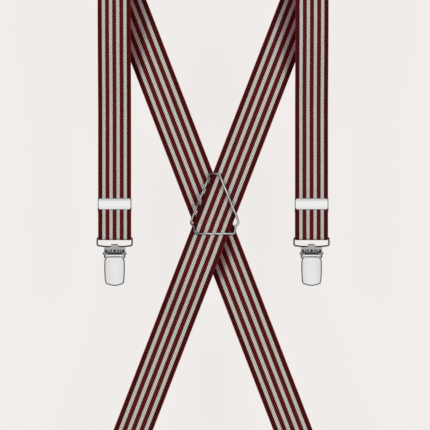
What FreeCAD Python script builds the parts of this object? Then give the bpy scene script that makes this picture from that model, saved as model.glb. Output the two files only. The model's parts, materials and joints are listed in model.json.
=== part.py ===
# Gentlemen's X-back suspenders: two striped straps, a wire slide where they cross,
# two lever adjusters on the front legs and four lever clips on swinging rings.
#
# The part lies flat, front side up: +X is the wearer's left-to-right as seen from
# above, +Y runs towards the shoulders and +Z is up from the table.  The origin is at
# the centre of the bottom of the bounding box.  Lengths are in millimetres.
import FreeCAD, Part
import math
import os
from FreeCAD import Vector

# ---- driving dimensions: layout ------------------------------------------------------
FRONT_X = 74.5            # centre of each front leg from the middle plane
CROSSING_Y = 163.979      # height of the crossing above the part's centre
LEG_ANGLE = 21.16         # degrees between a back leg and the middle plane
BACK_LENGTH = 519.0       # crossing to the top bar of a back ring, along the strap
RING_BAR_Y = -10.65       # top bar of a front ring, measured from the crossing

# ---- driving dimensions: webbing -----------------------------------------------------
THICK = 1.0               # webbing thickness
HALF = THICK / 2.0
FRONT_WIDTH = 25.0
BACK_WIDTH = 27.9
FOLD_RADIUS = 8.0         # middle surface of the shoulder fold
RISE_LENGTH = 95.0        # stretch of front leg that climbs to the shoulder fold
RISE_EASE = 0.75          # below 1 it climbs more at its start
WIDEN_FROM = -8.0         # strap length at which the webbing starts to widen
WIDEN_TO = 36.0           # and where it has its back width
LAYER_GAP = 0.05          # between two layers of webbing that lie on each other
WRAP_STEPS = 10           # facets round a ring bar
FOLD_STEPS = 20           # facets round the shoulder fold
RAMP_STEPS = 8            # facets on a gentle climb
HEM_LENGTH = 38.0         # sewn return at the back end of a strap
HEM_RAMP_START = 60.0     # the strap climbs onto the return between these distances from
HEM_RAMP_END = 40.0       # the back ring
RING_RAMP = 14.0          # and from here up to the ring's top bar
SEAM_OFFSET = 1.0         # where the front leg hands over to its turned-back tail

# ---- driving dimensions: rings and wire slide ----------------------------------------
RING_WIRE = 0.6           # wire radius of a ring
RING_Z = 1.95             # height of a ring's plane
RING_SPACING = 6.85       # between the two long bars of a ring
RING_BEND = 1.3           # bend radius of a ring's corners
RING_BOW = 0.9            # dip of the lower bar's straight middle below its ends
RING_MIDDLE = 6.8         # half length of that straight middle
RING_PLAY = 0.1           # side play of the webbing in its ring
WRAP_RADIUS = RING_Z - HALF                 # middle surface of the wrap round a ring
FRONT_MID_Z = RING_Z + WRAP_RADIUS          # middle surface of the front leg
SLIDE_WIRE = 0.85         # wire radius of the crossing slide
SLIDE_SHIFT_X = 1.2       # the slide sits a little off centre
SLIDE_TOP = Vector(3.3, 37.7, 3.5)          # corners of the slide's front loop, right half
SLIDE_SHOULDER = Vector(16.8, 4.9, 4.3)
SLIDE_EAR = Vector(18.05, 0.4, 4.7)
SLIDE_NECK = Vector(15.8, -2.2, 5.1)
SLIDE_FOOT = Vector(15.0, -7.7, 4.0)
SLIDE_BEND = 1.2          # bend radius of the front loop
BAR_BEND = 1.0            # and of the middle bar, which runs from ear to ear behind
CROSS_LIFT = 1.15         # rise of the upper strap where it lies on the lower one
CROSS_END_Y = 41.0        # above this the upper strap comes back down
CROSS_DESCENT = 21.0      # length of that descent
CROSS_SETTLE = 30.0       # length of the descent below the crossing
BAR_LIFT = 1.8            # rise of both straps over the slide's middle bar
BAR_FLAT = 0.8            # half the level stretch on top of that rise
BAR_RAMP = 5.7            # length of its slopes
BOW_LIFT = 6.5            # further bow of the upper strap just below the slide
BOW_START_Y = -4.5
BOW_RISE = 17.0
BOW_END_Y = -78.0
BOW_SETTLE = 44.0         # length over which the bow sinks back

# ---- driving dimensions: adjuster (heights from the table, y from the crossing) ------
ADJ_INNER = 12.6          # half width between the side walls
ADJ_WALL = 0.5
ADJ_LOW_Y = 8.9
ADJ_HIGH_Y = 19.1
ADJ_TOP_Z = 5.6
ADJ_UNDER_Z = 1.05        # underside of the walls and the rear bar, above the front leg's tail
ADJ_CHAMFER = 0.6
ADJ_PIN_Y = 18.2
ADJ_PIN_Z = 4.95
ADJ_PIN_RADIUS = 0.5
ADJ_BARREL = 0.9
COVER_HALF = 12.1
COVER_LOW_Y = 10.8
COVER_EDGE_Z = 5.35       # top of the cover at its two long edges
COVER_CROWN_Z = 5.85      # and along its middle
COVER_CORNER = 1.3
TAIL_FOLD_Y = 12.0        # centre of the tail's fold round the rear bar
TAIL_FOLD_RADIUS = 0.85   # middle surface of that fold
STUB_END_Y = -2.0         # cut end of the tail, sewn down on itself

# ---- driving dimensions: clip (own frame: hinge pin at y = 0, mouth towards -Y) ------
SHEET = 0.8               # sheet metal thickness
RING_BAR_LOCAL = 5.2      # bottom bar of the ring from the hinge pin
TONGUE_INNER = 1.15
TONGUE_HALF = 2.6
TONGUE_FOLD = 0.7         # rounding of the tongue's fold outside
NECK_HALF = 7.6
NECK_TOP_Y = 4.8
NECK_LOW_Y = 1.8
NECK_STEP = 5.0           # half width of the neck plate's lower tab, between the jaw's lugs
TAB_LOW_Y = 1.0
SLOT_LOW_Y = 1.3          # the row of slots in the tab
SLOT_HIGH_Y = 3.0
SLOTS = ((0.0, 2.0), (2.65, 1.1), (4.3, 0.8))  # centre and width of each, right half
NOTCH = (5.9, 7.1, 3.7)   # inner side, outer side and top of the notch over a lever lug
PLATE_HALF = 7.2
CLIP_TIP_Y = -23.4
TIP_CORNER = 2.8          # corner radius of the plates at the mouth
EAR_INNER = 7.3
PIN_Z = 4.3
PIN_RADIUS = 0.8
PIN_HALF = 9.0
BORE_PLAY = 0.05
LEVER_CROWN_Z = 7.2
LEVER_CROWN_RADIUS = 30.0
LEVER_RIM_Z = 4.4
LEVER_SOFTNESS = 1.2      # rounding of the lever's rim
LEVER_TOP_Y = -2.1        # top edge of the lever plate
LEVER_HALF = 7.8          # half width of the plate at its broadest
ROLL_Y = -1.45            # the lever's rolled and flattened edge
ROLL_Z = 5.95
ROLL_RADIUS = 0.65
ROLL_FLAT_Z = 6.35
LUG_RADIUS = 1.5
LUG_CREST = 0.37          # rounding along the top of a lever lug
LEVER_LUG = (6.3, 7.1)    # inner and outer side of a lug
JAW_LUG = (5.2, 6.0)
JAW_LUG_RADIUS = 1.3
JAW_PLATE_Z = 3.1
PAD_BACK_Y = -15.0
PAD_TIP_Y = -23.0
PAD_HALF = 6.4
PAD_CORNER = 2.4

ANGLE = math.radians(LEG_ANGLE)
FOLD_TILT = ANGLE / 2.0
FOLD_ARC = math.pi * FOLD_RADIUS
PIN_TO_RING_TOP = RING_BAR_LOCAL + RING_SPACING


# ---- small helpers -------------------------------------------------------------------
def box(x0, x1, y0, y1, z0, z1):
    return Part.makeBox(x1 - x0, y1 - y0, z1 - z0, Vector(x0, y0, z0))


def rod_x(x0, x1, y, z, radius):
    """A round bar along X."""
    return Part.makeCylinder(radius, x1 - x0, Vector(x0, y, z), Vector(1, 0, 0))


def both_sides(shape):
    """A shape and its mirror image in the plane x = 0, as one."""
    return shape.fuse(shape.mirror(Vector(0, 0, 0), Vector(1, 0, 0)))


def prism_x(points, x0, x1):
    """A side profile, given as (y, z) points, extruded along X."""
    corners = [Vector(x0, y, z) for y, z in points]
    face = Part.Face(Part.makePolygon(corners + corners[:1]))
    return face.extrude(Vector(x1 - x0, 0, 0))


def rounded_plate(x_half, y0, y1, z0, z1, radius):
    """A rectangular plate with its four upright edges rounded."""
    plate = box(-x_half, x_half, y0, y1, z0, z1)
    upright = [e for e in plate.Edges if abs(e.tangentAt(e.FirstParameter).z) > 0.5]
    return plate.makeFillet(radius, upright)


def smooth(t):
    """Ease from 0 to 1 with level ends."""
    t = min(max(t, 0.0), 1.0)
    return t * t * (3.0 - 2.0 * t)


def steps(start, end, count):
    """Evenly spaced values from start to end, without the first."""
    return [start + (end - start) * i / count for i in range(1, count + 1)]


def bent_rod(points, radius, bend, closed):
    """A round wire through the points, with every corner bent to one radius."""
    count = len(points)
    ends = []
    pieces = []
    corners = range(count) if closed else range(1, count - 1)
    for i in corners:
        before = (points[i] - points[i - 1]).normalize()
        after = (points[(i + 1) % count] - points[i]).normalize()
        turn = before.getAngle(after)
        reach = bend * math.tan(turn / 2.0)
        start = points[i] - before * reach
        axis = before.cross(after).normalize()
        centre = start + axis.cross(before) * bend
        disc = Part.Face(Part.Wire(Part.makeCircle(radius, start, before)))
        pieces.append(disc.revolve(centre, axis, math.degrees(turn)))
        ends.append((start, points[i] + after * reach))
    if closed:
        runs = [(ends[i - 1][1], ends[i][0]) for i in range(count)]
    else:
        stops = [points[0]] + [p for pair in ends for p in pair] + [points[-1]]
        runs = [(stops[i], stops[i + 1]) for i in range(0, len(stops), 2)]
    for a, b in runs:
        pieces.append(Part.makeCylinder(radius, (b - a).Length, a, b - a))
    return pieces[0].fuse(pieces[1:]).removeSplitter()


# ---- webbing -------------------------------------------------------------------------
def panels(a, b, c, d):
    """The face or two faces that close the four-cornered patch a, b, c, d."""
    normal = (b - a).cross(d - a)
    if normal.Length > 0 and abs((c - a).dot(normal.normalize())) < 1e-7:
        return [Part.Face(Part.makePolygon([a, b, c, d, a]))]
    return [Part.Face(Part.makePolygon([a, b, c, a])), Part.Face(Part.makePolygon([a, c, d, a]))]


def strip(stations):
    """A closed solid of webbing thickness whose middle surface runs through the stations,
    each a pair of points on the left and right edge."""
    middles = [(left + right) * 0.5 for left, right in stations]
    rows = []
    for i, (left, right) in enumerate(stations):
        heading = Vector(0, 0, 0)
        for a, b in ((i - 1, i), (i, i + 1)):
            if a >= 0 and b < len(stations):
                heading += (middles[b] - middles[a]).normalize()
        up = (right - left).cross(heading).normalize() * HALF
        rows.append((left + up, right + up, right - up, left - up))
    faces = panels(*rows[0]) + panels(*reversed(rows[-1]))
    for near, far in zip(rows, rows[1:]):
        for k in range(4):
            n = (k + 1) % 4
            faces += panels(near[k], near[n], far[n], far[k])
    shell = Part.makeShell(faces)
    shell.sewShape()
    solid = Part.makeSolid(shell)
    if solid.Volume < 0:
        solid.reverse()
    return solid


def half_width(length):
    """Half the webbing's width at a length measured from the start of the shoulder fold."""
    share = smooth((length - WIDEN_FROM) / (WIDEN_TO - WIDEN_FROM))
    return (FRONT_WIDTH + (BACK_WIDTH - FRONT_WIDTH) * share) / 2.0


def fold_start():
    """Where the middle of the front leg reaches the shoulder fold."""
    reach = FRONT_X + FOLD_ARC * math.sin(FOLD_TILT)
    return Vector(FRONT_X, reach / math.tan(ANGLE) - FOLD_ARC * math.cos(FOLD_TILT), 0)


def front_station(y, z):
    """A station square across the front leg."""
    w = FRONT_WIDTH / 2.0
    return (Vector(FRONT_X - w, y, z), Vector(FRONT_X + w, y, z))


def shoulder_station(over):
    """A station along the shoulder fold's axis; over is the distance past the fold's start."""
    axis = Vector(math.cos(FOLD_TILT), -math.sin(FOLD_TILT), 0)
    ahead = Vector(math.sin(FOLD_TILT), math.cos(FOLD_TILT), 0)
    high = HALF + 2.0 * FOLD_RADIUS
    if over < 0:
        share = smooth((1.0 + over / RISE_LENGTH) ** RISE_EASE)
        forward, z = over, FRONT_MID_Z + (high - FRONT_MID_Z) * share
    elif over <= FOLD_ARC:
        turn = over / FOLD_RADIUS
        forward, z = FOLD_RADIUS * math.sin(turn), HALF + FOLD_RADIUS * (1.0 + math.cos(turn))
    else:
        forward, z = FOLD_ARC - over, HALF
    points = []
    for side in (-1, 1):
        across = side * FRONT_WIDTH / 2.0
        for _ in range(4):
            length = (over - across * math.sin(FOLD_TILT)) / math.cos(FOLD_TILT)
            across = side * half_width(length)
        along = across * math.cos(FOLD_TILT) - length * math.sin(FOLD_TILT)
        point = fold_start() + axis * along + ahead * forward
        points.append(Vector(point.x, point.y, z))
    return tuple(points)


def crossing_station(y, z):
    """A station parallel to the slide's middle bar, on the right strap's back leg."""
    middle = y * math.tan(ANGLE)
    reach = BACK_WIDTH / 2.0 / math.cos(ANGLE)
    return (Vector(middle - reach, y, z), Vector(middle + reach, y, z))


def back_station(distance, z):
    """A station square across the back leg, at a distance before the back ring's top bar."""
    run = BACK_LENGTH - distance
    middle = Vector(-run * math.sin(ANGLE), -run * math.cos(ANGLE), z)
    across = Vector(math.cos(ANGLE), -math.sin(ANGLE), 0) * (BACK_WIDTH / 2.0)
    return (middle - across, middle + across)


def crossing_height(y, on_top):
    """Height of the middle surface near the crossing."""
    off_bar = abs(y - SLIDE_NECK.y) - BAR_FLAT
    height = HALF + BAR_LIFT * (1.0 - smooth(off_bar / BAR_RAMP))
    if on_top:
        above = 1.0 - smooth((y - CROSS_END_Y) / CROSS_DESCENT)
        height += CROSS_LIFT * above * smooth((y - BOW_END_Y) / CROSS_SETTLE)
        bow = smooth((BOW_START_Y - y) / BOW_RISE) * smooth((y - BOW_END_Y) / BOW_SETTLE)
        height += BOW_LIFT * bow
    return height


def crossing_stations(on_top):
    """The run of stations over the lower strap and the slide's middle bar."""
    bar = SLIDE_NECK.y
    near = [bar + d for d in (BAR_FLAT + BAR_RAMP, 5.2, 4.0, 2.8, 1.7, BAR_FLAT)]
    top = CROSS_END_Y + CROSS_DESCENT
    foot = bar - near[0] + bar - 0.8
    upper = [top] + steps(top, CROSS_END_Y, RAMP_STEPS) if on_top else [CROSS_END_Y]
    lower = [foot] + steps(foot, BOW_END_Y, 4 * RAMP_STEPS) if on_top else [-CROSS_END_Y]
    heights = upper + near + [2.0 * bar - y for y in reversed(near)] + lower
    return [crossing_station(y, crossing_height(y, on_top)) for y in heights]


def ring_wrap(station, centre, sense):
    """Stations half round a ring bar, from its underside to its top (sense 1) or back (-1)."""
    made = []
    for turn in steps(0.0, math.pi, WRAP_STEPS):
        height = RING_Z - sense * WRAP_RADIUS * math.cos(turn)
        made.append(station(centre - WRAP_RADIUS * math.sin(turn), height))
    return made


def strap(on_top):
    """One whole strap, placed as the right-hand one."""
    made = [front_station(RING_BAR_Y + SEAM_OFFSET, HALF), front_station(RING_BAR_Y, HALF)]
    made += ring_wrap(front_station, RING_BAR_Y, 1)
    made += [front_station(fold_start().y - RISE_LENGTH - 10.0, FRONT_MID_Z)]
    made += [shoulder_station(-RISE_LENGTH)]
    made += [shoulder_station(v) for v in steps(-RISE_LENGTH, 0.0, 2 * RAMP_STEPS)]
    made += [shoulder_station(v) for v in steps(0.0, FOLD_ARC, FOLD_STEPS)]
    made += [shoulder_station(v) for v in steps(FOLD_ARC, FOLD_ARC + 24.0, 3)]
    made += crossing_stations(on_top)
    on_hem = THICK + LAYER_GAP + HALF
    shares = steps(0.0, 1.0, RAMP_STEPS)
    climb = HEM_RAMP_START - HEM_RAMP_END
    made += [back_station(HEM_RAMP_START, HALF)]
    made += [back_station(HEM_RAMP_START - climb * s, HALF + (on_hem - HALF) * smooth(s))
             for s in shares]
    made += [back_station(RING_RAMP, on_hem)]
    made += [back_station(RING_RAMP * (1.0 - s), on_hem + (FRONT_MID_Z - on_hem) * smooth(s))
             for s in shares]
    made += ring_wrap(back_station, 0.0, -1)
    made += [back_station(HEM_LENGTH, HALF)]
    return strip(made)


def turnback():
    """The right front leg's tail: from the ring up to the adjuster, round its rear bar and
    back down onto itself, where it is sewn."""
    on_tail = THICK + LAYER_GAP + HALF
    top = HALF + 2.0 * TAIL_FOLD_RADIUS
    made = [front_station(RING_BAR_Y + SEAM_OFFSET + LAYER_GAP, HALF)]
    made += [front_station(TAIL_FOLD_Y, HALF)]
    for turn in steps(0.0, math.pi, WRAP_STEPS):
        y = TAIL_FOLD_Y + TAIL_FOLD_RADIUS * math.sin(turn)
        made.append(front_station(y, HALF + TAIL_FOLD_RADIUS * (1.0 - math.cos(turn))))
    descent_start, descent_end = TAIL_FOLD_Y - 1.6, TAIL_FOLD_Y - 6.5
    made += [front_station(descent_start, top)]
    made += [front_station(descent_start + (descent_end - descent_start) * s,
                           top + (on_tail - top) * smooth(s))
             for s in steps(0.0, 1.0, 4)]
    made += [front_station(STUB_END_Y, on_tail)]
    return strip(made)


def stitch_rows(length, width, z, rows):
    """Lock stitches lying on a surface: rows across the webbing at the given distances along
    it, and two rows along its edges; the webbing runs along Y from 0 to length."""
    stitch, pitch, thread, proud = 1.6, 2.4, 0.4, 0.2
    pieces = []
    across = int(width // pitch)
    for y in rows:
        for i in range(across + 1):
            x = (i - across / 2.0) * pitch
            pieces.append(box(x - stitch / 2, x + stitch / 2, y, y + thread, z, z + proud))
    along = int((length - pitch) // pitch)
    for x in (-width / 2.0 - thread, width / 2.0 + thread):
        for i in range(1, along):
            y = pitch * i + thread
            pieces.append(box(x - thread / 2, x + thread / 2, y, y + stitch, z, z + proud))
    return Part.makeCompound(pieces)


# ---- rings, slide, adjusters ---------------------------------------------------------
def ring(width):
    """The ring that a webbing of this width hangs on, in the clip's own frame."""
    x = width / 2.0 + RING_PLAY + RING_WIRE
    low, high = RING_BAR_LOCAL, PIN_TO_RING_TOP
    right = [Vector(RING_MIDDLE, low, RING_Z), Vector(x, low + RING_BOW, RING_Z),
             Vector(x, high, RING_Z)]
    left = [Vector(-p.x, p.y, p.z) for p in reversed(right)]
    return bent_rod(right + left, RING_WIRE, RING_BEND, True)


def cross_wire():
    """The wire slide: a front loop over both straps and a middle bar behind them."""
    right = [SLIDE_TOP, SLIDE_SHOULDER, SLIDE_EAR, SLIDE_NECK, SLIDE_FOOT]
    left = [Vector(-p.x, p.y, p.z) for p in reversed(right)]
    loop = bent_rod(right + left, SLIDE_WIRE, SLIDE_BEND, True)
    low = SLIDE_WIRE
    half = [SLIDE_EAR, Vector(SLIDE_EAR.x, SLIDE_EAR.y, low), Vector(SLIDE_NECK.x, SLIDE_NECK.y, low)]
    other = [Vector(-p.x, p.y, p.z) for p in reversed(half)]
    bar = bent_rod(half + other, SLIDE_WIRE, BAR_BEND, False)
    wire = loop.fuse(bar)
    wire.translate(Vector(SLIDE_SHIFT_X, 0, 0))
    return wire


def adjuster_base():
    """Side walls, the plate under the webbing and the rear bar that holds the tail."""
    outer = ADJ_INNER + ADJ_WALL
    brow = ADJ_TOP_Z - ADJ_CHAMFER
    wall = prism_x([(ADJ_LOW_Y, ADJ_UNDER_Z), (ADJ_HIGH_Y, ADJ_UNDER_Z), (ADJ_HIGH_Y, brow),
                    (ADJ_HIGH_Y - ADJ_CHAMFER, ADJ_TOP_Z), (ADJ_LOW_Y + 3.0, brow),
                    (ADJ_LOW_Y, 3.6)], ADJ_INNER, outer)
    wall = wall.cut(rod_x(ADJ_INNER - 1, outer + 1, ADJ_PIN_Y, ADJ_PIN_Z, ADJ_PIN_RADIUS))
    rear_bar = box(-outer, outer, TAIL_FOLD_Y - 1.1, TAIL_FOLD_Y + 0.1,
                   ADJ_UNDER_Z, ADJ_UNDER_Z + 0.6)
    plate = box(-outer, outer, TAIL_FOLD_Y + 1.6, ADJ_HIGH_Y, 2.1, 2.75)
    return both_sides(wall).fuse([rear_bar, plate]).removeSplitter()


def adjuster_pin():
    return rod_x(-ADJ_INNER - ADJ_WALL, ADJ_INNER + ADJ_WALL, ADJ_PIN_Y, ADJ_PIN_Z, ADJ_PIN_RADIUS)


def adjuster_cover():
    """The hinged, slightly crowned cover plate, its barrel and the teeth under its free edge."""
    middle = (COVER_LOW_Y + ADJ_HIGH_Y) / 2.0
    start = Vector(-COVER_HALF, COVER_LOW_Y, COVER_EDGE_Z)
    end = Vector(-COVER_HALF, ADJ_HIGH_Y, COVER_EDGE_Z)
    crown = Part.Arc(start, Vector(-COVER_HALF, middle, COVER_CROWN_Z), end).toShape()
    under = [end, Vector(-COVER_HALF, ADJ_HIGH_Y, ADJ_PIN_Z), Vector(-COVER_HALF, 11.8, ADJ_PIN_Z),
             Vector(-COVER_HALF, 11.4, 4.5), Vector(-COVER_HALF, COVER_LOW_Y, 4.5), start]
    face = Part.Face(Part.Wire([crown] + Part.makePolygon(under).Edges))
    plate = face.extrude(Vector(2.0 * COVER_HALF, 0, 0))
    barrel = rod_x(-COVER_HALF, COVER_HALF, ADJ_PIN_Y, ADJ_PIN_Z, ADJ_BARREL)
    outline = rounded_plate(COVER_HALF, COVER_LOW_Y, ADJ_HIGH_Y, 3.9, 6.5, COVER_CORNER)
    cover = plate.fuse(barrel).common(outline)
    pitch = 2.0
    teeth = [prism_x([(COVER_LOW_Y + 0.05, 4.6), (COVER_LOW_Y + 0.35, 4.02),
                      (COVER_LOW_Y + 0.65, 4.6)], i * pitch - 0.5, i * pitch + 0.5)
             for i in range(-5, 6)]
    cover = cover.fuse(teeth)
    bore = rod_x(-COVER_HALF - 1, COVER_HALF + 1, ADJ_PIN_Y, ADJ_PIN_Z, ADJ_PIN_RADIUS + BORE_PLAY)
    return cover.cut(bore).removeSplitter()


# ---- clip, in its own frame ----------------------------------------------------------
def neck_plate():
    """The front neck plate: bell-shaped at the tongue, pierced by plain slots."""
    top = NECK_TOP_Y
    half = [(0, RING_BAR_LOCAL), (TONGUE_HALF, RING_BAR_LOCAL), (3.6, top + 0.2), (5.0, top),
            (NECK_HALF, top), (NECK_HALF, NECK_LOW_Y), (NECK_STEP, NECK_LOW_Y),
            (NECK_STEP, TAB_LOW_Y), (0, TAB_LOW_Y)]
    low = RING_Z + TONGUE_INNER
    corners = [Vector(x, y, low) for x, y in half]
    plate = Part.Face(Part.makePolygon(corners + corners[:1])).extrude(Vector(0, 0, SHEET))
    inner, outer, notch_top = NOTCH
    plate = plate.cut(box(inner, outer, NECK_LOW_Y - 1, notch_top, low - 1, low + 1))
    for x, width in SLOTS:
        left, right = x - width / 2, x + width / 2
        plate = plate.cut(box(left, right, SLOT_LOW_Y, SLOT_HIGH_Y, low - 1, low + 1))
    return both_sides(plate)


def tongue():
    """The strip folded round the ring's lower bar."""
    reach = TONGUE_INNER + SHEET
    far = RING_BAR_LOCAL + reach
    fold = box(-TONGUE_HALF, TONGUE_HALF, RING_BAR_LOCAL, far, RING_Z - reach, RING_Z + reach)
    brow = [e for e in fold.Edges if e.BoundBox.YMin > far - 0.1 and e.BoundBox.XLength > 1.0]
    fold = fold.makeFillet(TONGUE_FOLD, brow)
    end = TONGUE_HALF + 1.0
    return fold.cut(rod_x(-end, end, RING_BAR_LOCAL, RING_Z, TONGUE_INNER))


def clip_body():
    """Back plate, tongue round the ring's bar, front neck plate and the two pin ears."""
    plate = rounded_plate(PLATE_HALF, CLIP_TIP_Y, -1.0, 0.0, SHEET, TIP_CORNER)
    neck = box(-NECK_HALF, NECK_HALF, -1.5, 3.4, 0.0, SHEET)
    neck_end = box(-TONGUE_HALF, TONGUE_HALF, 3.3, RING_BAR_LOCAL, 0.0, SHEET)
    ear = prism_x([(-2.2, 0.0), (3.4, 0.0), (4.3, 3.3), (4.3, 3.9), (1.8, 3.9), (1.0, 5.3),
                   (-1.0, 5.6), (-2.0, 4.6), (-3.4, 0.9), (-3.4, 0.0)],
                  EAR_INNER, EAR_INNER + SHEET)
    ear = ear.cut(rod_x(EAR_INNER - 1, EAR_INNER + 2, 0, PIN_Z, PIN_RADIUS))
    body = plate.fuse([neck, neck_end, tongue(), neck_plate(), both_sides(ear)])
    return body.removeSplitter()


def clip_pin():
    """Hinge pin with a bevelled head at each end."""
    pin = rod_x(-PIN_HALF, PIN_HALF, 0, PIN_Z, PIN_RADIUS)
    return pin.makeChamfer(0.25, pin.Edges[0:1] + pin.Edges[2:3])


def lever_outline(inset, z):
    """The lever plate's outline in plan, drawn in by the given amount."""
    top, neck, side = LEVER_TOP_Y - inset, 6.1 - inset, LEVER_HALF - inset
    foot, low, tip = 6.75 - inset, -22.6 + inset, -24.4 + inset
    p = [Vector(-neck, top, z), Vector(neck, top, z), Vector(side - 0.15, top - 2.9, z),
         Vector(side - 0.45, -20.0, z), Vector(foot, low, z), Vector(-foot, low, z),
         Vector(-side + 0.45, -20.0, z), Vector(-side + 0.15, top - 2.9, z)]
    edges = [Part.makeLine(p[0], p[1]), Part.makeLine(p[1], p[2]),
             Part.Arc(p[2], Vector(side, -11.0, z), p[3]).toShape(),
             Part.Arc(p[3], Vector(side - 0.78, -21.6, z), p[4]).toShape(),
             Part.Arc(p[4], Vector(0, tip, z), p[5]).toShape(),
             Part.Arc(p[5], Vector(-side + 0.78, -21.6, z), p[6]).toShape(),
             Part.Arc(p[6], Vector(-side, -11.0, z), p[7]).toShape(), Part.makeLine(p[7], p[0])]
    return Part.Face(Part.Wire(edges))


def lever_plate():
    """The crowned plate with its soft, turned-down rim."""
    axis_z = LEVER_CROWN_Z - LEVER_CROWN_RADIUS
    crown = Part.makeCylinder(LEVER_CROWN_RADIUS, 40, Vector(0, -32, axis_z), Vector(0, 1, 0))
    hollow = Part.makeCylinder(LEVER_CROWN_RADIUS - SHEET, 40, Vector(0, -32, axis_z),
                               Vector(0, 1, 0))
    outer = lever_outline(0.0, LEVER_RIM_Z).extrude(Vector(0, 0, 4)).common(crown)
    brow = [e for e in outer.Edges if e.BoundBox.ZMin > LEVER_RIM_Z + 0.5]
    outer = outer.makeFillet(LEVER_SOFTNESS, brow)
    inner = lever_outline(SHEET, LEVER_RIM_Z - 1).extrude(Vector(0, 0, 5)).common(hollow)
    return outer.cut(inner)


def lever_lug():
    """The right-hand lug, from the pin to under the plate, with a rounded crest."""
    lug = prism_x([(1.6, 4.6), (1.0, 5.6), (-0.6, 6.2), (-1.9, 6.2), (-5.2, 5.3), (-5.2, 4.6),
                   (-1.3, 3.6)], *LEVER_LUG)
    crest = [e for e in lug.Edges if e.BoundBox.ZMin > 4.5 and e.BoundBox.XLength < 0.1
             and e.BoundBox.YLength > 0.1]
    lug = lug.makeFillet(LUG_CREST, crest)
    return lug.fuse(rod_x(LEVER_LUG[0], LEVER_LUG[1], 0, PIN_Z, LUG_RADIUS))


def clip_lever():
    """Lever plate, rolled top edge and two pin lugs."""
    half = LEVER_LUG[0] + 0.1
    roll = rod_x(-half, half, ROLL_Y, ROLL_Z, ROLL_RADIUS)
    roll = roll.cut(box(-half, half, ROLL_Y - 1, ROLL_Y + 1, ROLL_FLAT_Z, ROLL_FLAT_Z + 1))
    bridge = box(-half, half, LEVER_TOP_Y - SHEET, ROLL_Y, ROLL_Z - 0.5, ROLL_Z)
    lever = lever_plate().fuse([roll, bridge, both_sides(lever_lug())])
    return lever.cut(rod_x(-9, 9, 0, PIN_Z, PIN_RADIUS + BORE_PLAY)).removeSplitter()


def clip_jaw():
    """The inner jaw plate, swinging on the same pin inside the lever's lugs."""
    top = JAW_PLATE_Z + SHEET
    broad = rounded_plate(6.9, CLIP_TIP_Y + 0.2, -4.6, JAW_PLATE_Z, top, TIP_CORNER)
    narrow = box(-JAW_LUG[1], JAW_LUG[1], -5.5, -1.4, JAW_PLATE_Z, top)
    lug = rod_x(JAW_LUG[0], JAW_LUG[1], 0, PIN_Z, JAW_LUG_RADIUS)
    lug = lug.fuse(box(JAW_LUG[0], JAW_LUG[1], -2.0, 0.0, JAW_PLATE_Z, PIN_Z + 0.4))
    jaw = broad.fuse([narrow, both_sides(lug)])
    return jaw.cut(rod_x(-9, 9, 0, PIN_Z, PIN_RADIUS + BORE_PLAY)).removeSplitter()


def fixed_pad():
    return rounded_plate(PAD_HALF, PAD_TIP_Y, PAD_BACK_Y, SHEET, 2.0, PAD_CORNER)


def jaw_pad():
    """The moving jaw's pad, ribbed across its gripping face."""
    pad = rounded_plate(PAD_HALF, PAD_TIP_Y, PAD_BACK_Y, 2.1, JAW_PLATE_Z, PAD_CORNER)
    for i in range(4):
        y = PAD_TIP_Y + 1.6 + 1.8 * i
        pad = pad.cut(box(-PAD_HALF - 1, PAD_HALF + 1, y, y + 0.7, 2.0, 2.4))
    return pad


# ---- placing and writing -------------------------------------------------------------
def mirrored(shape):
    return shape.mirror(Vector(0, 0, 0), Vector(1, 0, 0))


def placed(shape, x, y, turn):
    """A copy turned about Z by an angle in degrees, then moved in the plane."""
    copy = shape.copy()
    copy.rotate(Vector(0, 0, 0), Vector(0, 0, 1), turn)
    copy.translate(Vector(x, y, 0))
    return copy


def write(node, shape):
    shape = shape.copy()
    shape.translate(Vector(0, CROSSING_Y, 0))
    shape.exportStep("parts/" + node + ".step")
    limits = shape.optimalBoundingBox()
    print(node, shape.isValid(), len(shape.Solids), len(shape.Faces),
          "x %.2f %.2f  y %.2f %.2f  z %.2f %.2f" % (limits.XMin, limits.XMax, limits.YMin,
                                                     limits.YMax, limits.ZMin, limits.ZMax))
    return limits


def write_webbing():
    hem_z = 2.0 * THICK + LAYER_GAP
    hem_rows = [0.0, 22.0]
    hem_start = BACK_LENGTH - HEM_LENGTH + 1.2
    hem = stitch_rows(22.4, BACK_WIDTH - 5.0, hem_z, hem_rows)
    hem_right = placed(hem, -hem_start * math.sin(ANGLE), -hem_start * math.cos(ANGLE),
                       180.0 - LEG_ANGLE)
    boxes = [write("right_strap", strap(True)), write("left_strap", mirrored(strap(False)))]
    tail = turnback()
    boxes.append(write("right_turnback", tail))
    boxes.append(write("left_turnback", mirrored(tail)))
    write("right_hem_stitching", hem_right)
    write("left_hem_stitching", mirrored(hem_right))
    seam = stitch_rows(6.0, FRONT_WIDTH - 5.0, hem_z, [0.4, 5.2])
    for side, x in (("left", -FRONT_X), ("right", FRONT_X)):
        write(side + "_turnback_stitching", placed(seam, x, STUB_END_Y + 0.8, 0))
    return boxes


def write_adjusters():
    pieces = {"base": adjuster_base(), "pin": adjuster_pin(), "cover": adjuster_cover()}
    for side, x in (("left", -FRONT_X), ("right", FRONT_X)):
        for name, shape in pieces.items():
            write(side + "_adjuster_" + name, placed(shape, x, 0, 0))


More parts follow.
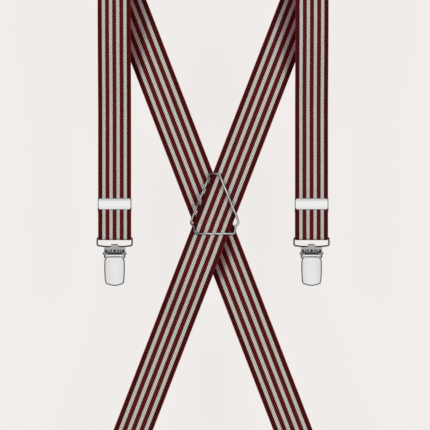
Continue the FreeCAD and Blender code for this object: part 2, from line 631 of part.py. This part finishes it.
def write_clips():
    pieces = {"clip_body": clip_body(), "clip_pin": clip_pin(), "clip_lever": clip_lever(),
              "clip_jaw": clip_jaw(), "fixed_pad": fixed_pad(), "jaw_pad": jaw_pad()}
    rings = {"front": ring(FRONT_WIDTH), "back": ring(BACK_WIDTH)}
    end = BACK_LENGTH + PIN_TO_RING_TOP
    back_x, back_y = end * math.sin(ANGLE), -end * math.cos(ANGLE)
    front_y = RING_BAR_Y - PIN_TO_RING_TOP
    places = {"front_left": (-FRONT_X, front_y, 0), "front_right": (FRONT_X, front_y, 0),
              "back_left": (-back_x, back_y, -LEG_ANGLE), "back_right": (back_x, back_y, LEG_ANGLE)}
    boxes = []
    for corner, place in places.items():
        write(corner + "_ring", placed(rings[corner.split("_")[0]], *place))
        for name, shape in pieces.items():
            boxes.append(write(corner + "_" + name, placed(shape, *place)))
    return boxes


os.makedirs("parts", exist_ok=True)
limits = write_webbing() + write_clips()
write("cross_wire", cross_wire())
write_adjusters()
low, high = min(b.YMin for b in limits), max(b.YMax for b in limits)
print("middle of the length, which should be 0: %.3f" % ((low + high) / 2.0))
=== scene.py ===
import json
import math

import bmesh
import bpy
from mathutils import Matrix, Vector


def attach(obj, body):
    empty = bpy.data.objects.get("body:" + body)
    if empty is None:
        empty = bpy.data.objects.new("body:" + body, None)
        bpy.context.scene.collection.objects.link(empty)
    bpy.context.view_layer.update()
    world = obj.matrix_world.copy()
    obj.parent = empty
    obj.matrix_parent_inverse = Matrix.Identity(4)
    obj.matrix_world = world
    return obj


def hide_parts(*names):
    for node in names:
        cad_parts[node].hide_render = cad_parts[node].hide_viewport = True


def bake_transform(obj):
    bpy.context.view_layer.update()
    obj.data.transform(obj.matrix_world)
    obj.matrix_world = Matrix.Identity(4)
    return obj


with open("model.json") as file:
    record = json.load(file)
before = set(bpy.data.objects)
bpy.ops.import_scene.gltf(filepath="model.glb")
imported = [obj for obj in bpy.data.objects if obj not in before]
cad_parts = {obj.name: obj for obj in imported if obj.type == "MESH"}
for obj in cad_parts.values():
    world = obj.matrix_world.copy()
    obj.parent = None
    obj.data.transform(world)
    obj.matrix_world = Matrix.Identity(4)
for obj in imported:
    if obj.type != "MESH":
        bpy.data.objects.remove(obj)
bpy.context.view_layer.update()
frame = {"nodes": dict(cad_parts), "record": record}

# Striped X-back suspenders lying flat, front side up.  Lengths are in metres, in the
# frame of the CAD model: +Y towards the shoulders, +Z up from the table.

# ---- layout, as in the CAD model -----------------------------------------------------
FRONT_X = 0.0745
CROSSING_Y = 0.163979
ANGLE = math.radians(21.16)
BACK_LENGTH = 0.519
RING_BAR_Y = -0.01065
THICK = 0.001
HALF = THICK / 2.0
FRONT_WIDTH = 0.025
BACK_WIDTH = 0.0279
FOLD_RADIUS = 0.008
RISE_LENGTH = 0.095
RISE_EASE = 0.75
WIDEN_FROM = -0.008
WIDEN_TO = 0.036
LAYER_GAP = 0.00005
HEM_LENGTH = 0.038
HEM_RAMP_START = 0.060    # distances from the back ring
HEM_RAMP_END = 0.040
HEM_RAMP_LENGTH = 0.020
RING_RAMP = 0.014
SEAM_OFFSET = 0.001
RING_Z = 0.00195
WRAP_RADIUS = RING_Z - HALF
FRONT_MID_Z = RING_Z + WRAP_RADIUS
BAR_Y = -0.0022           # the slide's middle bar
CROSS_LIFT = 0.00115
CROSS_END_Y = 0.041       # the upper strap comes down to the table from here
CROSS_DESCENT = 0.021
CROSS_SETTLE = 0.030
BAR_LIFT = 0.0018
BAR_REACH = 0.0008        # webbing level over the bar, each side of its middle
BAR_SLOPE = 0.0057
BOW_LIFT = 0.0065
BOW_START_Y = -0.0045
BOW_RISE = 0.017
BOW_END_Y = -0.078
BOW_SETTLE = 0.044
TAIL_FOLD_Y = 0.012
TAIL_FOLD_RADIUS = 0.00085
STUB_END_Y = -0.002
FOLD_TILT = ANGLE / 2.0
FOLD_ARC = math.pi * FOLD_RADIUS

# ---- what the camera sees ------------------------------------------------------------
VIEW_CENTRE = (0.00145, 0.00645 + CROSSING_Y)
VIEW_WIDTH = 0.3258
CAMERA_HEIGHT = 2.6
SENSOR = 36.0
FLOOR_COLOUR = (0.871, 0.838, 0.815, 1.0)
FLOOR_DROP = 0.045        # the floor lies below the reach of a clip that hangs down
AMBIENT = 0.22            # even light from all round
LAMP_POWER = 19.0
LAMP_SIZE = 0.6
LAMP_SIDE = 1.3           # also its height
LAMP_AHEAD = 0.25
CEILING = ((0, 0.10), (0.35, 0.18), (0.66, 0.16), (0.78, 0.36), (0.88, 0.80), (1.0, 0.95))


# ---- small helpers -------------------------------------------------------------------
def smooth(t):
    """Ease from 0 to 1 with level ends."""
    t = min(max(t, 0.0), 1.0)
    return t * t * (3.0 - 2.0 * t)


def steps(start, end, count):
    """Evenly spaced values from start to end, without the first."""
    return [start + (end - start) * i / count for i in range(1, count + 1)]


def add_object(name, mesh):
    made = bpy.data.objects.new(name, mesh)
    bpy.context.scene.collection.objects.link(made)
    return made


# ---- the webbing's path --------------------------------------------------------------
def half_width(length):
    share = smooth((length - WIDEN_FROM) / (WIDEN_TO - WIDEN_FROM))
    return (FRONT_WIDTH + (BACK_WIDTH - FRONT_WIDTH) * share) / 2.0


def fold_start_y():
    reach = FRONT_X + FOLD_ARC * math.sin(FOLD_TILT)
    return reach / math.tan(ANGLE) - FOLD_ARC * math.cos(FOLD_TILT)


def front_station(y, z):
    w = FRONT_WIDTH / 2.0
    return (Vector((FRONT_X - w, y, z)), Vector((FRONT_X + w, y, z)))


def shoulder_station(over):
    axis = Vector((math.cos(FOLD_TILT), -math.sin(FOLD_TILT), 0))
    ahead = Vector((math.sin(FOLD_TILT), math.cos(FOLD_TILT), 0))
    start = Vector((FRONT_X, fold_start_y(), 0))
    high = HALF + 2.0 * FOLD_RADIUS
    if over < 0:
        share = smooth(max(1.0 + over / RISE_LENGTH, 0.0) ** RISE_EASE)
        forward, z = over, FRONT_MID_Z + (high - FRONT_MID_Z) * share
    elif over <= FOLD_ARC:
        turn = over / FOLD_RADIUS
        forward, z = FOLD_RADIUS * math.sin(turn), HALF + FOLD_RADIUS * (1.0 + math.cos(turn))
    else:
        forward, z = FOLD_ARC - over, HALF
    points = []
    for side in (-1, 1):
        across = side * FRONT_WIDTH / 2.0
        for _ in range(4):
            length = (over - across * math.sin(FOLD_TILT)) / math.cos(FOLD_TILT)
            across = side * half_width(length)
        along = across * math.cos(FOLD_TILT) - length * math.sin(FOLD_TILT)
        point = start + axis * along + ahead * forward
        points.append(Vector((point.x, point.y, z)))
    return tuple(points)


def crossing_station(y, z):
    middle = y * math.tan(ANGLE)
    reach = BACK_WIDTH / 2.0 / math.cos(ANGLE)
    return (Vector((middle - reach, y, z)), Vector((middle + reach, y, z)))


def back_station(distance, z):
    run = BACK_LENGTH - distance
    middle = Vector((-run * math.sin(ANGLE), -run * math.cos(ANGLE), z))
    across = Vector((math.cos(ANGLE), -math.sin(ANGLE), 0)) * (BACK_WIDTH / 2.0)
    return (middle - across, middle + across)


def crossing_height(y, on_top):
    """Height of a back leg's middle layer near the slide; the upper strap also bows up."""
    height = HALF + BAR_LIFT * (1.0 - smooth((abs(y - BAR_Y) - BAR_REACH) / BAR_SLOPE))
    if on_top:
        descent = 1.0 - smooth((y - CROSS_END_Y) / CROSS_DESCENT)
        height += CROSS_LIFT * descent * smooth((y - BOW_END_Y) / CROSS_SETTLE)
        bow = smooth((BOW_START_Y - y) / BOW_RISE)
        height += BOW_LIFT * bow * smooth((y - BOW_END_Y) / BOW_SETTLE)
    return height


def ring_wrap(station, centre, sense):
    made = []
    for turn in steps(0.0, math.pi, 20):
        height = RING_Z - sense * WRAP_RADIUS * math.cos(turn)
        made.append(station(centre - WRAP_RADIUS * math.sin(turn), height))
    return made


def strap_stations(on_top):
    """Edge point pairs of a whole strap, placed as the right-hand one."""
    made = [front_station(RING_BAR_Y + SEAM_OFFSET, HALF), front_station(RING_BAR_Y, HALF)]
    made += ring_wrap(front_station, RING_BAR_Y, 1)
    flat_end = fold_start_y() - RISE_LENGTH - 0.010
    made += [front_station(y, FRONT_MID_Z) for y in steps(RING_BAR_Y, flat_end, 22)]
    made += [shoulder_station(-RISE_LENGTH)]
    made += [shoulder_station(v) for v in steps(-RISE_LENGTH, 0.0, 36)]
    made += [shoulder_station(v) for v in steps(0.0, FOLD_ARC, 36)]
    made += [shoulder_station(v) for v in steps(FOLD_ARC, FOLD_ARC + 0.024, 8)]
    places = [0.110] + steps(0.110, 0.062, 10) + steps(0.062, 0.007, 24)
    places += steps(0.007, -0.012, 32) + steps(-0.012, -0.080, 40)
    made += [crossing_station(y, crossing_height(y, on_top)) for y in places]
    on_hem = THICK + LAYER_GAP + HALF
    made += [back_station(d, HALF) for d in steps(BACK_LENGTH - 0.105, HEM_RAMP_START, 60)]
    made += [back_station(HEM_RAMP_START - HEM_RAMP_LENGTH * s, HALF + (on_hem - HALF) * smooth(s))
             for s in steps(0.0, 1.0, 16)]
    made += [back_station(d, on_hem) for d in steps(HEM_RAMP_END, RING_RAMP, 8)]
    made += [back_station(RING_RAMP * (1.0 - s), on_hem + (FRONT_MID_Z - on_hem) * smooth(s))
             for s in steps(0.0, 1.0, 16)]
    made += ring_wrap(back_station, 0.0, -1)
    made += [back_station(d, HALF) for d in steps(0.0, HEM_LENGTH, 8)]
    return made


def turnback_stations():
    on_tail = THICK + LAYER_GAP + HALF
    top = HALF + 2.0 * TAIL_FOLD_RADIUS
    start = RING_BAR_Y + SEAM_OFFSET + LAYER_GAP
    made = [front_station(start, HALF)]
    made += [front_station(y, HALF) for y in steps(start, TAIL_FOLD_Y, 14)]
    for turn in steps(0.0, math.pi, 16):
        y = TAIL_FOLD_Y + TAIL_FOLD_RADIUS * math.sin(turn)
        made.append(front_station(y, HALF + TAIL_FOLD_RADIUS * (1.0 - math.cos(turn))))
    high, low = TAIL_FOLD_Y - 0.0016, TAIL_FOLD_Y - 0.0065
    made += [front_station(high, top)]
    made += [front_station(high + (low - high) * s, top + (on_tail - top) * smooth(s))
             for s in steps(0.0, 1.0, 8)]
    made += [front_station(y, on_tail) for y in steps(low, STUB_END_Y, 5)]
    return made


# ---- webbing mesh --------------------------------------------------------------------
ACROSS = 18               # faces across one side of the webbing
EDGE_STEPS = 4            # faces round each edge


def cross_section(half):
    """Points round the webbing's section as (sideways, up), and their place across it from
    0 to 1: over the top from left to right, round the edge and back along the underside."""
    inner = half - HALF
    loop = [(-inner + 2.0 * inner * i / ACROSS, HALF) for i in range(ACROSS + 1)]
    for i in range(1, EDGE_STEPS):
        turn = math.pi * i / EDGE_STEPS
        loop.append((inner + HALF * math.sin(turn), HALF * math.cos(turn)))
    loop += [(x, -up) for x, up in reversed(loop[:ACROSS + 1])]
    for i in range(1, EDGE_STEPS):
        turn = math.pi * i / EDGE_STEPS
        loop.append((-inner - HALF * math.sin(turn), -HALF * math.cos(turn)))
    return [(x, up, (x + half) / (2.0 * half)) for x, up in loop]


def webbing(name, stations, side):
    """A webbing mesh along the stations; side -1 mirrors it to the left strap.  Its UV map
    holds the place across the width and the length in units of the front width."""
    middles = [(left + right) * 0.5 for left, right in stations]
    bm = bmesh.new()
    uv_layer = bm.loops.layers.uv.new("weave")
    rings, lengths, shares = [], [], []
    length = 0.0
    for i, (left, right) in enumerate(stations):
        heading = Vector()
        if i:
            length += (middles[i] - middles[i - 1]).length
            heading += (middles[i] - middles[i - 1]).normalized()
        if i + 1 < len(stations):
            heading += (middles[i + 1] - middles[i]).normalized()
        sideways = (right - left).normalized()
        up = (right - left).cross(heading).normalized()
        section = cross_section((right - left).length / 2.0)
        skew = sideways.dot(heading.normalized())
        ring = []
        for x, height, _ in section:
            point = middles[i] + sideways * x + up * height
            ring.append(bm.verts.new((side * point.x, point.y + CROSSING_Y, point.z)))
        rings.append(ring)
        lengths.append([(length + skew * x) / FRONT_WIDTH for x, _, _ in section])
        shares.append([share for _, _, share in section])
    count = len(rings[0])
    for i in range(len(rings) - 1):
        for k in range(count):
            n = (k + 1) % count
            corners = [(i, k), (i, n), (i + 1, n), (i + 1, k)]
            if side < 0:
                corners.reverse()
            face = bm.faces.new([rings[a][b] for a, b in corners])
            face.smooth = True
            for loop, (a, b) in zip(face.loops, corners):
                loop[uv_layer].uv = (shares[a][b], lengths[a][b])
    for i in (0, len(rings) - 1):
        face = bm.faces.new(rings[i])
        for loop, share, at in zip(face.loops, shares[i], lengths[i]):
            loop[uv_layer].uv = (share, at)
    bmesh.ops.recalc_face_normals(bm, faces=bm.faces)
    mesh = bpy.data.meshes.new(name)
    bm.to_mesh(mesh)
    bm.free()
    return add_object(name, mesh)


# ---- node helpers --------------------------------------------------------------------
class Nodes:
    """Short calls for building one material's node tree."""

    def __init__(self, name):
        self.material = bpy.data.materials.new(name)
        self.material.use_nodes = True
        self.tree = self.material.node_tree
        self.tree.nodes.clear()
        self.shader = self.add("ShaderNodeBsdfPrincipled")
        output = self.add("ShaderNodeOutputMaterial")
        self.link(self.shader.outputs["BSDF"], output.inputs["Surface"])

    def add(self, kind, **values):
        node = self.tree.nodes.new(kind)
        for key, value in values.items():
            setattr(node, key, value)
        return node

    def link(self, output, target):
        self.tree.links.new(output, target)

    def put(self, target, value):
        if isinstance(value, bpy.types.NodeSocket):
            self.link(value, target)
        else:
            target.default_value = value

    def math(self, operation, a, b=0.0, c=0.0):
        node = self.add("ShaderNodeMath", operation=operation)
        for target, value in zip(node.inputs, (a, b, c)):
            self.put(target, value)
        return node.outputs[0]

    def mix(self, share, a, b):
        node = self.add("ShaderNodeMix", data_type="RGBA")
        self.put(node.inputs["Factor"], share)
        self.put(node.inputs["A"], a)
        self.put(node.inputs["B"], b)
        return node.outputs["Result"]

    def blend(self, share, a, b):
        node = self.add("ShaderNodeMix", data_type="FLOAT")
        self.put(node.inputs["Factor"], share)
        self.put(node.inputs["A"], a)
        self.put(node.inputs["B"], b)
        return node.outputs["Result"]

    def multiply(self, a, b):
        node = self.add("ShaderNodeMix", data_type="RGBA", blend_type="MULTIPLY")
        node.inputs["Factor"].default_value = 1.0
        self.put(node.inputs["A"], a)
        self.put(node.inputs["B"], b)
        return node.outputs["Result"]

    def openness(self, reach, samples):
        """How much open space lies above the surface, within a reach: 1 where all of it is."""
        node = self.add("ShaderNodeAmbientOcclusion", samples=samples)
        node.inputs["Distance"].default_value = reach
        return node.outputs["AO"]

    def ramp(self, value, stops):
        node = self.add("ShaderNodeValToRGB")
        elements = node.color_ramp.elements
        while len(elements) < len(stops):
            elements.new(0.5)
        for element, (at, grey) in zip(elements, stops):
            element.position = at
            element.color = (grey, grey, grey, 1.0)
        self.put(node.inputs["Fac"], value)
        return node.outputs["Color"]

    def noise(self, vector, scale, detail=2.0, roughness=0.5):
        node = self.add("ShaderNodeTexNoise")
        self.put(node.inputs["Vector"], vector)
        node.inputs["Scale"].default_value = scale
        node.inputs["Detail"].default_value = detail
        node.inputs["Roughness"].default_value = roughness
        return node.outputs["Fac"]

    def scaled(self, vector, factors):
        node = self.add("ShaderNodeVectorMath", operation="MULTIPLY")
        self.put(node.inputs[0], vector)
        node.inputs[1].default_value = factors
        return node.outputs["Vector"]

    def bump(self, height, distance, strength=1.0):
        node = self.add("ShaderNodeBump")
        node.inputs["Strength"].default_value = strength
        node.inputs["Distance"].default_value = distance
        self.put(node.inputs["Height"], height)
        self.link(node.outputs["Normal"], self.shader.inputs["Normal"])

    def coordinates(self):
        return self.add("ShaderNodeTexCoord").outputs["Object"]

    def set(self, name, value):
        self.put(self.shader.inputs[name], value)


# ---- materials -----------------------------------------------------------------------
STRIPE_EDGES = (0.124, 0.2304, 0.3394, 0.4458, 0.5548, 0.6612, 0.7702, 0.8766)
STRIPE_BLUR = 0.006
STRIPE_TRIM = 0.006       # the light stripes are this much narrower at each side
TWILL_PITCH = 0.076       # twill period, in front widths
PICK_PITCH = 0.030        # weft period


def wave(n, value, period, swing=0.5):
    """A sine wave about 0.5, from 0 to 1 at the usual swing."""
    turns = n.math("MULTIPLY", value, 2.0 * math.pi / period)
    return n.math("MULTIPLY_ADD", n.math("SINE", turns), swing, 0.5)


def webbing_material():
    """Striped twill: burgundy and silver-grey warp, diagonal floats, a rounded selvedge and
    painted shade where another strap hangs high above it.
    """
    n = Nodes("striped_webbing")
    uv = n.add("ShaderNodeUVMap", uv_map="weave").outputs["UV"]
    split = n.add("ShaderNodeSeparateXYZ")
    n.link(uv, split.inputs[0])
    u, v = split.outputs["X"], split.outputs["Y"]
    rough_edge = n.noise(n.scaled(uv, (30.0, 30.0, 1.0)), 1.0)
    across = n.math("ADD", u, n.math("MULTIPLY_ADD", rough_edge, 0.008, -0.004))
    stops = [(0.0, 0.0)]
    for i, edge in enumerate(STRIPE_EDGES):
        light = 1.0 if i % 2 == 0 else 0.0
        edge += STRIPE_TRIM * (2.0 * light - 1.0)
        stops += [(edge - STRIPE_BLUR, 1.0 - light), (edge + STRIPE_BLUR, light)]
    light = n.ramp(across, stops)
    outer = n.ramp(across, [(0.0, 1.0), (0.15, 1.0), (0.18, 0.0), (0.82, 0.0), (0.85, 1.0)])
    selvedge = n.ramp(u, [(0.0, 1.0), (0.012, 1.0), (0.03, 0.0), (0.97, 0.0), (0.988, 1.0)])
    rising = wave(n, n.math("ADD", u, v), TWILL_PITCH, 0.8)
    falling = wave(n, n.math("SUBTRACT", u, v), TWILL_PITCH, 0.8)
    dark_twill = n.blend(n.math("GREATER_THAN", u, 0.5), rising, falling)
    yarn = n.noise(n.scaled(uv, (60.0, 60.0, 1.0)), 1.0, 3.0, 0.7)
    grain = n.math("MULTIPLY_ADD", yarn, 0.5, -0.25)
    dark_tone = n.math("ADD", dark_twill, grain)
    pale_tone = n.math("ADD", falling, grain)
    red = n.mix(dark_tone, (0.012, 0.0003, 0.0003, 1), (0.175, 0.018, 0.018, 1))
    deep = n.mix(dark_tone, (0.002, 0.0003, 0.0003, 1), (0.120, 0.010, 0.010, 1))
    dark = n.mix(selvedge, n.mix(outer, red, deep), (0.150, 0.016, 0.016, 1))
    pale = n.mix(pale_tone, (0.33, 0.325, 0.29, 1), (0.66, 0.645, 0.60, 1))
    # Painted shade: a purple-grey tint multiplied into the colour where open space is missing far
    # off but not close by, as under a strap that hangs high above.
    beyond = n.math("DIVIDE", n.openness(0.026, 10), n.openness(0.005, 10))
    openness = n.ramp(beyond, [(0.0, 0.0), (0.74, 0.0), (0.96, 1.0)])
    shade = n.mix(openness, (0.58, 0.29, 0.37, 1), (1, 1, 1, 1))
    n.set("Base Color", n.multiply(n.mix(light, dark, pale), shade))
    n.set("Roughness", n.math("MULTIPLY_ADD", yarn, 0.2, 0.62))
    n.set("Sheen Weight", 0.03)
    n.set("Sheen Roughness", 0.4)
    n.set("Specular IOR Level", 0.06)
    picks = wave(n, v, PICK_PITCH)
    height = n.math("ADD", n.math("MULTIPLY", n.blend(light, dark_twill, falling), 0.7),
                    n.math("MULTIPLY", picks, 0.3))
    n.bump(height, 0.00015, 0.8)
    return n.material


def metal_material(name, colour, low, high, scratch, painted_corner_shade=None, metallic=1.0):
    """Plated metal with an uneven polish and hairline scratches.  Painted corner shade, where
    given, is the openness at which its corners and recesses are painted fully dark and the
    openness at which they keep the plain colour."""
    n = Nodes(name)
    place = n.coordinates()
    broad = n.noise(place, 180.0, 3.0)
    fine = n.noise(n.scaled(place, (900.0, 5000.0, 900.0)), 1.0, 2.0, 0.6)
    plate = n.mix(broad, tuple(0.93 * c for c in colour) + (1,), colour + (1,))
    if painted_corner_shade:
        # painted shade: corners and recesses with little open space close by are darkened in the
        # colour
        openness = n.ramp(n.openness(0.007, 10), [(0.0, 0.0), (painted_corner_shade[0], 0.0), (painted_corner_shade[1], 1.0)])
        plate = n.mix(openness, tuple(0.04 * c for c in colour) + (1,), plate)
    n.set("Base Color", plate)
    n.set("Metallic", metallic)
    n.set("Roughness", n.math("MULTIPLY_ADD", broad, high - low, low))
    n.bump(fine, 0.00001, scratch)
    return n.material


def wire_material():
    """Drawn nickel wire, tarnished in patches, with painted shade that darkens it towards the -X
    side.
    """
    n = Nodes("nickel_wire")
    place = n.coordinates()
    x, _ = axis_pair(n, place)
    patches = n.noise(place, 110.0, 1.0)
    drawn = n.noise(n.scaled(place, (4000.0, 300.0, 4000.0)), 1.0, 2.0, 0.6)
    # painted shade: the colour darkens towards -X, on top of the random tarnish patches
    tarnish_and_side_shade = n.ramp(n.math("MULTIPLY_ADD", x, 9.0, patches), [(0.24, 0.0), (0.60, 1.0)])
    n.set("Base Color", n.mix(tarnish_and_side_shade, (0.11, 0.11, 0.11, 1), (0.92, 0.92, 0.91, 1)))
    n.set("Metallic", 1.0)
    n.set("Roughness", n.math("MULTIPLY_ADD", patches, 0.10, 0.12))
    n.bump(drawn, 0.00001, 0.2)
    return n.material


def plastic_material():
    n = Nodes("grip_plastic")
    place = n.coordinates()
    grain = n.noise(place, 2500.0, 2.0)
    n.set("Base Color", n.mix(grain, (0.62, 0.61, 0.58, 1), (0.74, 0.73, 0.70, 1)))
    n.set("Roughness", n.math("MULTIPLY_ADD", grain, 0.2, 0.4))
    n.bump(grain, 0.00004, 0.5)
    return n.material


def thread_material():
    n = Nodes("sewing_thread")
    place = n.coordinates()
    twist = wave(n, n.math("ADD", *axis_pair(n, place)), 0.00035)
    n.set("Base Color", n.mix(twist, (0.045, 0.004, 0.004, 1), (0.14, 0.02, 0.02, 1)))
    n.set("Roughness", 0.55)
    n.set("Sheen Weight", 0.2)
    n.bump(twist, 0.00006, 0.8)
    return n.material


def axis_pair(n, vector):
    split = n.add("ShaderNodeSeparateXYZ")
    n.link(vector, split.inputs[0])
    return split.outputs["X"], split.outputs["Y"]


def paint(obj, material):
    obj.data.materials.clear()
    obj.data.materials.append(material)


# ---- pieces --------------------------------------------------------------------------
def stitches(node, material):
    """Rounded lock stitches in place of a node's plain ones."""
    source = bmesh.new()
    source.from_mesh(frame["nodes"][node].data)
    bmesh.ops.remove_doubles(source, verts=source.verts, dist=1e-6)
    bm = bmesh.new()
    seen = set()
    for start in source.verts:
        if start.index in seen:
            continue
        island, queue = [], [start]
        seen.add(start.index)
        while queue:
            vert = queue.pop()
            island.append(vert.co.copy())
            for edge in vert.link_edges:
                other = edge.other_vert(vert)
                if other.index not in seen:
                    seen.add(other.index)
                    queue.append(other)
        add_stitch(bm, island)
    source.free()
    for face in bm.faces:
        face.smooth = True
    mesh = bpy.data.meshes.new(node + "_thread")
    bm.to_mesh(mesh)
    bm.free()
    made = add_object(node + "_thread", mesh)
    paint(made, material)
    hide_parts(node)
    return made


STITCH_LENGTH, STITCH_WIDTH, STITCH_HEIGHT = 0.00095, 0.00022, 0.00018     # half sizes
STITCH_LIFT = 0.00002


def add_stitch(bm, corners):
    """One stitch: a low arched capsule over the plain box with these corners."""
    centre = sum(corners, Vector()) / len(corners)
    base = min(c.z for c in corners)
    level = [c for c in corners if abs(c.z - base) < 1e-5]
    first = level[0]
    far = sorted(level, key=lambda c: (c - first).length)
    long_edge = far[2] - first if len(far) > 2 else far[-1] - first
    direction = long_edge.normalized()
    turn = Matrix.Rotation(math.atan2(direction.y, direction.x), 4, "Z")
    place = Matrix.Translation((centre.x, centre.y, base + STITCH_LIFT)) @ turn
    size = Matrix.Diagonal((STITCH_LENGTH, STITCH_WIDTH, STITCH_HEIGHT, 1.0))
    bmesh.ops.create_uvsphere(bm, u_segments=12, v_segments=8, radius=1.0, matrix=place @ size)


def bevelled(obj, width):
    edge = obj.modifiers.new("edges", "BEVEL")
    edge.width = width
    edge.segments = 3
    edge.limit_method = "ANGLE"
    edge.angle_limit = math.radians(30)
    edge.harden_normals = False


def build_webbing(material):
    for name, side, on_top in (("right", 1, True), ("left", -1, False)):
        strap = webbing(name + "_webbing", strap_stations(on_top), side)
        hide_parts(name + "_strap")
        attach(strap, "webbing")
        tail = webbing(name + "_tail_webbing", turnback_stations(), side)
        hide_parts(name + "_turnback")
        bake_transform(tail)
        for piece in (strap, tail):
            paint(piece, material)


def build_metal():
    """Finishes and softened edges for the parts that keep their CAD shape."""
    plastic = plastic_material()
    thread = thread_material()
    # The last pair given to bright_nickel and dark_nickel sets their painted corner shade.
    finish = {
        "nickel": metal_material("bright_nickel", (0.46, 0.46, 0.46), 0.28, 0.38, 0.2,
                                 (0.30, 0.70)),
        "satin_nickel": metal_material("satin_nickel", (0.96, 0.96, 0.95), 0.16, 0.24, 0.1),
        "chrome": metal_material("polished_chrome", (0.87, 0.87, 0.875), 0.08, 0.16, 0.05),
        "steel_wire": wire_material(),
        "dark_nickel": metal_material("dark_nickel", (0.20, 0.197, 0.194), 0.15, 0.25, 0.2,
                                      (0.62, 0.97)),
        "pad_plastic": plastic}
    pale = metal_material("pale_nickel", (0.90, 0.90, 0.89), 0.30, 0.40, 0.2, metallic=0.2)
    for part in frame["record"]["subparts"]:
        node, slot = part["node"], part["material_slot"]
        if slot in finish:
            obj = frame["nodes"][node]
            thin_walled = "adjuster_base" in node
            paint(obj, pale if thin_walled else finish[slot])
            bevelled(obj, 0.00005 if thin_walled else 0.00012)
        elif slot == "thread":
            made = stitches(node, thread)
            body = "webbing" if "hem" in node else node.split("_")[0] + "_adjuster"
            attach(made, body)


# ---- stage ---------------------------------------------------------------------------
def build_floor():
    bm = bmesh.new()
    bmesh.ops.create_grid(bm, x_segments=1, y_segments=1, size=20.0)
    mesh = bpy.data.meshes.new("floor")
    bm.to_mesh(mesh)
    bm.free()
    floor = add_object("floor", mesh)
    floor.location.z = -FLOOR_DROP
    floor.visible_glossy = False
    n = Nodes("pale_floor")
    n.set("Base Color", (0.04, 0.039, 0.038, 1.0))
    n.set("Roughness", 0.9)
    n.set("Specular IOR Level", 0.0)
    n.set("Emission Color", FLOOR_COLOUR)
    n.set("Emission Strength", 0.965)
    paint(floor, n.material)


def area_light(name, place, target):
    light = bpy.data.lights.new(name, "AREA")
    light.shape = "DISK"
    light.size = LAMP_SIZE
    light.energy = LAMP_POWER
    lamp = bpy.data.objects.new(name, light)
    lamp.location = place
    lamp.visible_glossy = False
    lamp.rotation_euler = (Vector(target) - Vector(place)).to_track_quat("-Z", "Y").to_euler()
    bpy.context.scene.collection.objects.link(lamp)


def build_lights():
    """Two soft lamps left and right of the table, even light from all round, and a ceiling
    that only reflections see."""
    target = (VIEW_CENTRE[0], VIEW_CENTRE[1], 0.0)
    for name, side in (("left", -1), ("right", 1)):
        area_light(name, (side * LAMP_SIDE, target[1] + LAMP_AHEAD, LAMP_SIDE), target)
    world = bpy.data.worlds.new("studio")
    bpy.context.scene.world = world
    world.use_nodes = True
    tree = world.node_tree
    tree.nodes.clear()

    def node(kind, **values):
        made = tree.nodes.new(kind)
        for key, value in values.items():
            setattr(made, key, value)
        return made

    place = node("ShaderNodeTexCoord")
    split = node("ShaderNodeSeparateXYZ")
    tree.links.new(place.outputs["Generated"], split.inputs[0])
    ceiling = node("ShaderNodeValToRGB")
    tree.links.new(split.outputs["Z"], ceiling.inputs["Fac"])
    elements = ceiling.color_ramp.elements
    for _ in range(len(CEILING) - 2):
        elements.new(0.5)
    for element, (at, grey) in zip(elements, CEILING):
        element.position = at
        element.color = (grey, grey, grey, 1.0)
    reflected = node("ShaderNodeBackground")
    tree.links.new(ceiling.outputs["Color"], reflected.inputs["Color"])
    seen = node("ShaderNodeBackground")
    seen.inputs["Color"].default_value = FLOOR_COLOUR
    ambient = node("ShaderNodeBackground")
    ambient.inputs["Color"].default_value = (1.0, 1.0, 1.0, 1.0)
    ambient.inputs["Strength"].default_value = AMBIENT
    rays = node("ShaderNodeLightPath")
    gloss = node("ShaderNodeMixShader")
    tree.links.new(rays.outputs["Is Glossy Ray"], gloss.inputs[0])
    tree.links.new(ambient.outputs[0], gloss.inputs[1])
    tree.links.new(reflected.outputs[0], gloss.inputs[2])
    final = node("ShaderNodeMixShader")
    tree.links.new(rays.outputs["Is Camera Ray"], final.inputs[0])
    tree.links.new(gloss.outputs[0], final.inputs[1])
    tree.links.new(seen.outputs[0], final.inputs[2])
    output = node("ShaderNodeOutputWorld")
    tree.links.new(final.outputs[0], output.inputs["Surface"])


def build_camera():
    camera = bpy.data.cameras.new("camera")
    camera.sensor_width = SENSOR
    camera.lens = SENSOR * CAMERA_HEIGHT / VIEW_WIDTH
    camera.clip_end = 50.0
    eye = bpy.data.objects.new("camera", camera)
    eye.location = (VIEW_CENTRE[0], VIEW_CENTRE[1], CAMERA_HEIGHT)
    bpy.context.scene.collection.objects.link(eye)
    bpy.context.scene.camera = eye


build_webbing(webbing_material())
build_metal()
build_floor()
build_lights()
build_camera()
bpy.context.scene.view_settings.view_transform = "Standard"
bpy.context.scene.cycles.use_denoising = False    # it would wipe out the weave
